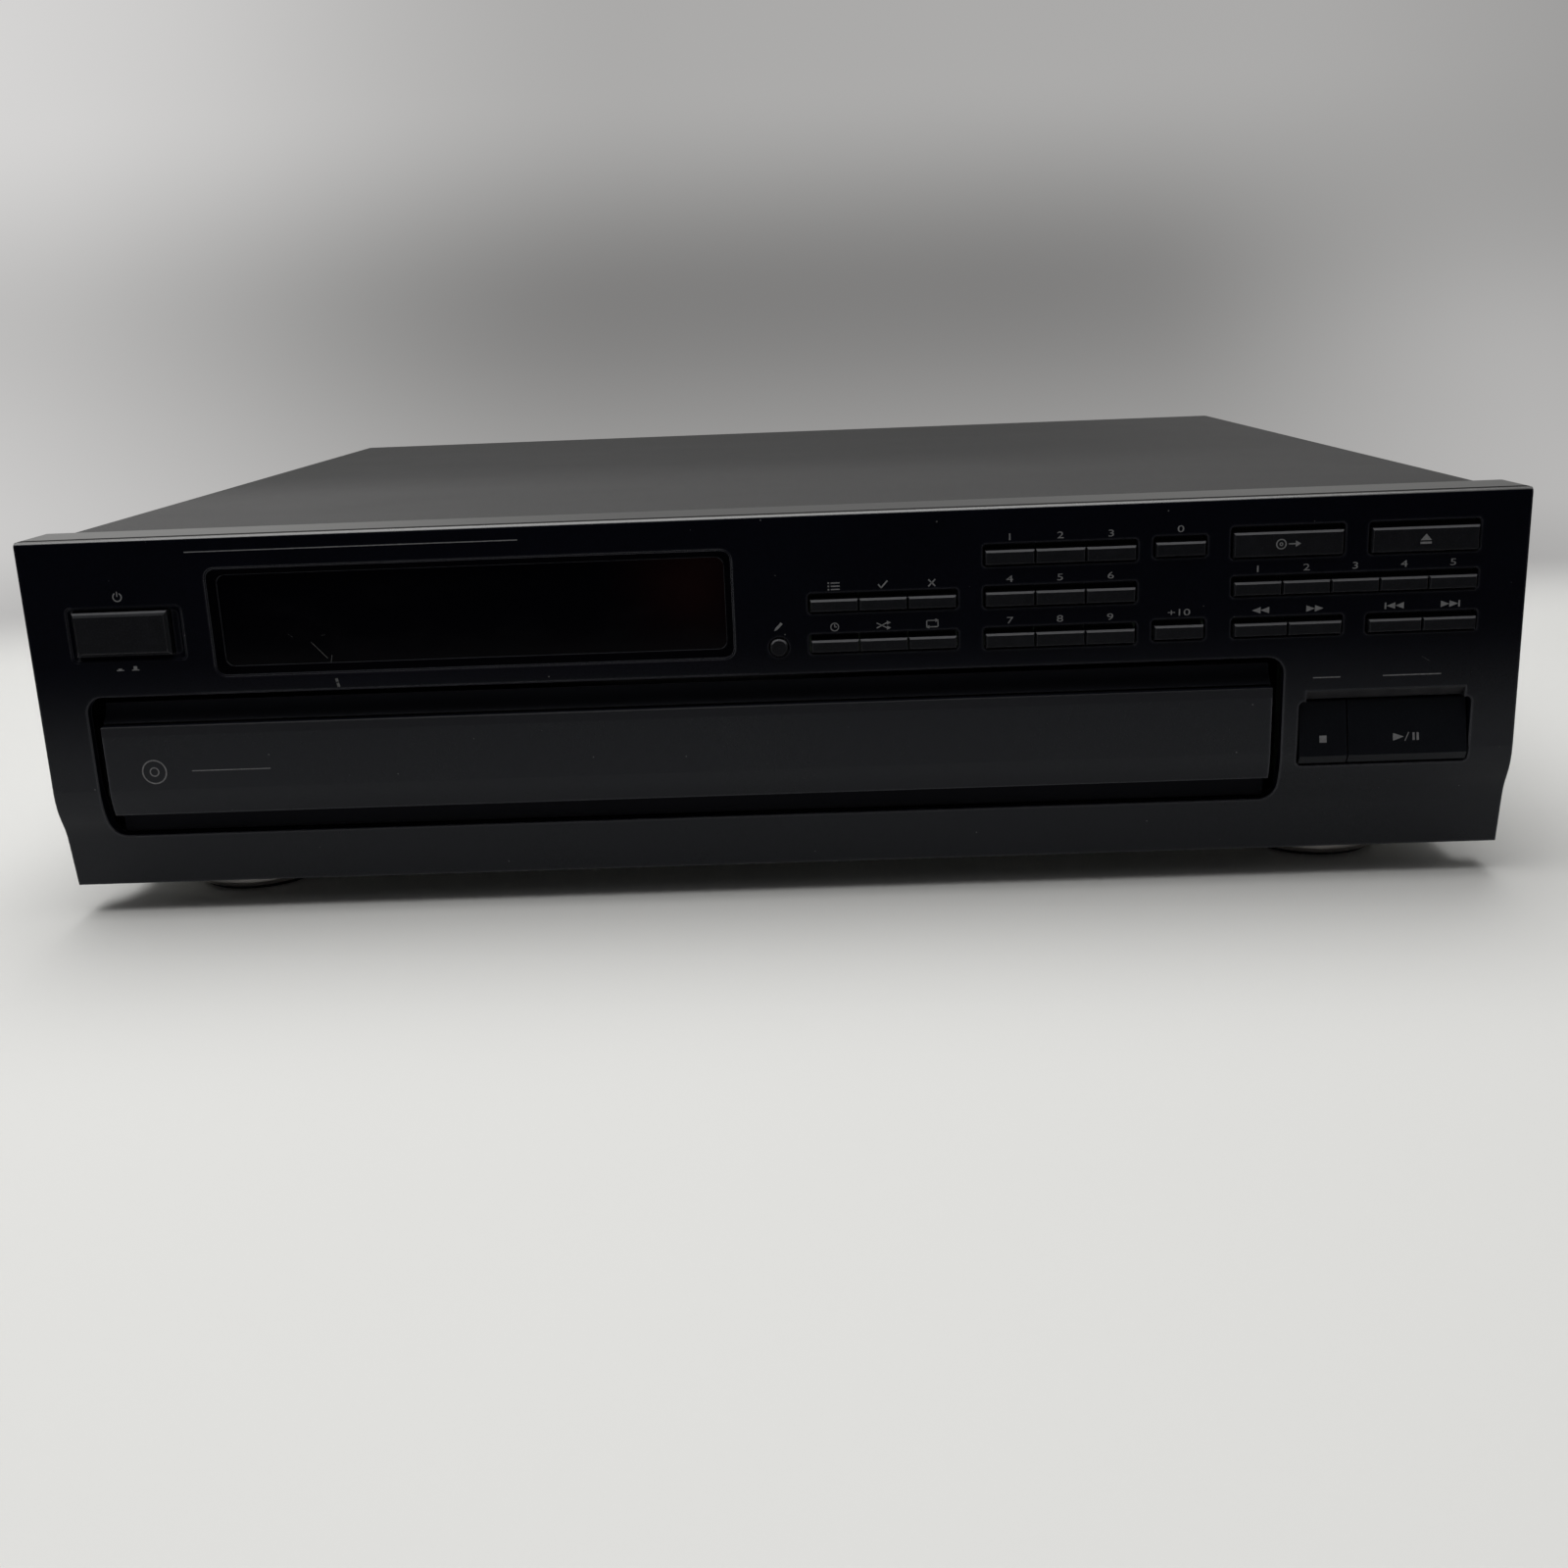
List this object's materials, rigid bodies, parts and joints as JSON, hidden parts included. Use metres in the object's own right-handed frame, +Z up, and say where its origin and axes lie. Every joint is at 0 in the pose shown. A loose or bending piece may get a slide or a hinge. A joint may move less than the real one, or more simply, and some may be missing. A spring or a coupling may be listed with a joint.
{
  "type": "multi disc cd changer",
  "caption": "Full-width hi-fi CD changer with a sliding drawer, rotating disc carousel, hinged playing mechanism, display window and pressable front keys.",
  "frame": {"origin": "on the supporting surface, under the middle of the bounding box", "axes": "+X right seen from the front, +Y towards the back, +Z up"},
  "size_m": [0.44, 0.384, 0.118],
  "materials": {
    "panel_plastic": "satin black moulded plastic",
    "key_plastic": "satin dark grey moulded plastic",
    "lens": "smoked gloss plastic lens",
    "display_glass": "dark display glass",
    "board": "phenolic circuit board",
    "cover_paint": "fine textured dark grey paint on steel",
    "screw_steel": "black oxide steel",
    "zinc_steel": "zinc plated steel",
    "rear_paint": "black paint on steel",
    "socket_plastic": "black moulded plastic with plated sockets",
    "gland_rubber": "black rubber",
    "foot_finish": "metallised plastic",
    "foot_rubber": "dark felted rubber",
    "core_steel": "varnished laminations",
    "deck_plastic": "black moulded plastic",
    "carousel_plastic": "dark grey moulded plastic",
    "gear_plastic": "natural acetal",
    "motor_steel": "plated motor can",
    "turntable_plastic": "black plastic with rubber ring",
    "pickup_plastic": "black glass-filled plastic with a clear lens"
  },
  "bodies": {
    "root": {"front_panel": "panel_plastic", "display_window": "lens", "display_tube": "display_glass", "control_board": "board", "top_cover": "cover_paint", "cover_screws": "screw_steel", "chassis_pan": "zinc_steel", "rear_panel": "rear_paint", "jack_block": "socket_plastic", "cord_gland": "gland_rubber", "feet": "foot_finish", "foot_pads": "foot_rubber", "main_board": "board", "transformer": "core_steel", "mechanism_base": "deck_plastic", "loading_motor": "motor_steel", "clamper_bridge": "zinc_steel"},
    "tray": {"disc_tray": "deck_plastic", "tray_front": "panel_plastic", "carousel_hub": "carousel_plastic"},
    "carousel": {"carousel": "carousel_plastic"},
    "carousel_pinion": {"carousel_pinion": "gear_plastic"},
    "loading_gear": {"loading_gear": "gear_plastic"},
    "lifter": {"lifter": "deck_plastic"},
    "lift_slider": {"lift_slider": "gear_plastic"},
    "turntable": {"turntable": "turntable_plastic"},
    "optical_pickup": {"optical_pickup": "pickup_plastic"},
    "clamper_puck": {"clamper_puck": "turntable_plastic"},
    "power_button": {"power_button": "key_plastic"},
    "edit_button": {"edit_button": "key_plastic"},
    "program_mode_key": {"program_mode_key": "key_plastic"},
    "check_key": {"check_key": "key_plastic"},
    "clear_key": {"clear_key": "key_plastic"},
    "time_display_key": {"time_display_key": "key_plastic"},
    "random_key": {"random_key": "key_plastic"},
    "repeat_key": {"repeat_key": "key_plastic"},
    "number_1_key": {"number_1_key": "key_plastic"},
    "number_2_key": {"number_2_key": "key_plastic"},
    "number_3_key": {"number_3_key": "key_plastic"},
    "number_4_key": {"number_4_key": "key_plastic"},
    "number_5_key": {"number_5_key": "key_plastic"},
    "number_6_key": {"number_6_key": "key_plastic"},
    "number_7_key": {"number_7_key": "key_plastic"},
    "number_8_key": {"number_8_key": "key_plastic"},
    "number_9_key": {"number_9_key": "key_plastic"},
    "number_0_key": {"number_0_key": "key_plastic"},
    "plus_ten_key": {"plus_ten_key": "key_plastic"},
    "disc_skip_key": {"disc_skip_key": "key_plastic"},
    "open_close_key": {"open_close_key": "key_plastic"},
    "disc_1_key": {"disc_1_key": "key_plastic"},
    "disc_2_key": {"disc_2_key": "key_plastic"},
    "disc_3_key": {"disc_3_key": "key_plastic"},
    "disc_4_key": {"disc_4_key": "key_plastic"},
    "disc_5_key": {"disc_5_key": "key_plastic"},
    "search_back_key": {"search_back_key": "key_plastic"},
    "search_forward_key": {"search_forward_key": "key_plastic"},
    "skip_back_key": {"skip_back_key": "key_plastic"},
    "skip_forward_key": {"skip_forward_key": "key_plastic"},
    "stop_key": {"stop_key": "key_plastic"},
    "play_pause_key": {"play_pause_key": "key_plastic"}
  },
  "joints": [
    {"name": "tray_slide", "type": "slide", "parent": "root", "child": "tray", "axis": [0, -1, 0], "range_m": [0, 0.2]},
    {"name": "carousel_spin", "type": "hinge", "parent": "tray", "child": "carousel", "pos_m": [-0.027, -0.0055, 0.058], "axis": [0, 0, 1], "continuous": true},
    {"name": "lifter_tilt", "type": "hinge", "parent": "root", "child": "lifter", "pos_m": [-0.027, 0.1705, 0.04], "axis": [-1, 0, 0], "range_deg": [0, 7]},
    {"name": "pickup_slide", "type": "slide", "parent": "lifter", "child": "optical_pickup", "axis": [0, -0.9925, -0.1219], "range_m": [0, 0.033]},
    {"name": "power_press", "type": "slide", "parent": "root", "child": "power_button", "axis": [0, 1, 0], "range_m": [0, 0.003], "stiffness_N_per_m": 400},
    {"name": "play_pause_press", "type": "slide", "parent": "root", "child": "play_pause_key", "axis": [0, 1, 0], "range_m": [0, 0.0008], "stiffness_N_per_m": 500},
    {"name": "stop_press", "type": "slide", "parent": "root", "child": "stop_key", "axis": [0, 1, 0], "range_m": [0, 0.0008], "stiffness_N_per_m": 500},
    {"name": "open_close_press", "type": "slide", "parent": "root", "child": "open_close_key", "axis": [0, 1, 0], "range_m": [0, 0.0008], "stiffness_N_per_m": 500},
    {"name": "disc_skip_press", "type": "slide", "parent": "root", "child": "disc_skip_key", "axis": [0, 1, 0], "range_m": [0, 0.0008], "stiffness_N_per_m": 500},
    {"name": "edit_press", "type": "slide", "parent": "root", "child": "edit_button", "axis": [0, 1, 0], "range_m": [0, 0.0008], "stiffness_N_per_m": 500},
    {"name": "program_mode_press", "type": "slide", "parent": "root", "child": "program_mode_key", "axis": [0, 1, 0], "range_m": [0, 0.0008], "stiffness_N_per_m": 500},
    {"name": "check_press", "type": "slide", "parent": "root", "child": "check_key", "axis": [0, 1, 0], "range_m": [0, 0.0008], "stiffness_N_per_m": 500},
    {"name": "clear_press", "type": "slide", "parent": "root", "child": "clear_key", "axis": [0, 1, 0], "range_m": [0, 0.0008], "stiffness_N_per_m": 500},
    {"name": "time_display_press", "type": "slide", "parent": "root", "child": "time_display_key", "axis": [0, 1, 0], "range_m": [0, 0.0008], "stiffness_N_per_m": 500},
    {"name": "random_press", "type": "slide", "parent": "root", "child": "random_key", "axis": [0, 1, 0], "range_m": [0, 0.0008], "stiffness_N_per_m": 500},
    {"name": "repeat_press", "type": "slide", "parent": "root", "child": "repeat_key", "axis": [0, 1, 0], "range_m": [0, 0.0008], "stiffness_N_per_m": 500},
    {"name": "number_1_press", "type": "slide", "parent": "root", "child": "number_1_key", "axis": [0, 1, 0], "range_m": [0, 0.0008], "stiffness_N_per_m": 500},
    {"name": "number_2_press", "type": "slide", "parent": "root", "child": "number_2_key", "axis": [0, 1, 0], "range_m": [0, 0.0008], "stiffness_N_per_m": 500},
    {"name": "number_3_press", "type": "slide", "parent": "root", "child": "number_3_key", "axis": [0, 1, 0], "range_m": [0, 0.0008], "stiffness_N_per_m": 500},
    {"name": "number_4_press", "type": "slide", "parent": "root", "child": "number_4_key", "axis": [0, 1, 0], "range_m": [0, 0.0008], "stiffness_N_per_m": 500},
    {"name": "number_5_press", "type": "slide", "parent": "root", "child": "number_5_key", "axis": [0, 1, 0], "range_m": [0, 0.0008], "stiffness_N_per_m": 500},
    {"name": "number_6_press", "type": "slide", "parent": "root", "child": "number_6_key", "axis": [0, 1, 0], "range_m": [0, 0.0008], "stiffness_N_per_m": 500},
    {"name": "number_7_press", "type": "slide", "parent": "root", "child": "number_7_key", "axis": [0, 1, 0], "range_m": [0, 0.0008], "stiffness_N_per_m": 500},
    {"name": "number_8_press", "type": "slide", "parent": "root", "child": "number_8_key", "axis": [0, 1, 0], "range_m": [0, 0.0008], "stiffness_N_per_m": 500},
    {"name": "number_9_press", "type": "slide", "parent": "root", "child": "number_9_key", "axis": [0, 1, 0], "range_m": [0, 0.0008], "stiffness_N_per_m": 500},
    {"name": "number_0_press", "type": "slide", "parent": "root", "child": "number_0_key", "axis": [0, 1, 0], "range_m": [0, 0.0008], "stiffness_N_per_m": 500},
    {"name": "plus_ten_press", "type": "slide", "parent": "root", "child": "plus_ten_key", "axis": [0, 1, 0], "range_m": [0, 0.0008], "stiffness_N_per_m": 500},
    {"name": "disc_1_press", "type": "slide", "parent": "root", "child": "disc_1_key", "axis": [0, 1, 0], "range_m": [0, 0.0008], "stiffness_N_per_m": 500},
    {"name": "disc_2_press", "type": "slide", "parent": "root", "child": "disc_2_key", "axis": [0, 1, 0], "range_m": [0, 0.0008], "stiffness_N_per_m": 500},
    {"name": "disc_3_press", "type": "slide", "parent": "root", "child": "disc_3_key", "axis": [0, 1, 0], "range_m": [0, 0.0008], "stiffness_N_per_m": 500},
    {"name": "disc_4_press", "type": "slide", "parent": "root", "child": "disc_4_key", "axis": [0, 1, 0], "range_m": [0, 0.0008], "stiffness_N_per_m": 500},
    {"name": "disc_5_press", "type": "slide", "parent": "root", "child": "disc_5_key", "axis": [0, 1, 0], "range_m": [0, 0.0008], "stiffness_N_per_m": 500},
    {"name": "search_back_press", "type": "slide", "parent": "root", "child": "search_back_key", "axis": [0, 1, 0], "range_m": [0, 0.0008], "stiffness_N_per_m": 500},
    {"name": "search_forward_press", "type": "slide", "parent": "root", "child": "search_forward_key", "axis": [0, 1, 0], "range_m": [0, 0.0008], "stiffness_N_per_m": 500},
    {"name": "skip_back_press", "type": "slide", "parent": "root", "child": "skip_back_key", "axis": [0, 1, 0], "range_m": [0, 0.0008], "stiffness_N_per_m": 500},
    {"name": "skip_forward_press", "type": "slide", "parent": "root", "child": "skip_forward_key", "axis": [0, 1, 0], "range_m": [0, 0.0008], "stiffness_N_per_m": 500},
    {"name": "turntable_spin", "type": "hinge", "parent": "lifter", "child": "turntable", "pos_m": [-0.027, 0.09709, 0.04872], "axis": [0, -0.1219, 0.9925], "continuous": true},
    {"name": "clamper_spin", "type": "hinge", "parent": "root", "child": "clamper_puck", "pos_m": [-0.027, 0.0987, 0.0589], "axis": [0, 0, 1], "continuous": true},
    {"name": "carousel_pinion_spin", "type": "hinge", "parent": "tray", "child": "carousel_pinion", "pos_m": [0.00615, -0.03865, 0.047], "axis": [0, 0, 1], "continuous": true},
    {"name": "loading_gear_spin", "type": "hinge", "parent": "root", "child": "loading_gear", "pos_m": [-0.11, -0.1505, 0.029], "axis": [0, 0, 1], "continuous": true},
    {"name": "lift_slider_slide", "type": "slide", "parent": "root", "child": "lift_slider", "axis": [0, -1, 0], "range_m": [0, 0.03]}
  ],
  "couplings": [
    {"joint": "carousel_pinion_spin", "follows": "carousel_spin", "ratio": -4},
    {"joint": "loading_gear_spin", "follows": "tray_slide", "rad_per_m": 80},
    {"joint": "lift_slider_slide", "follows": "lifter_tilt", "m_per_rad": 0.2455}
  ]
}
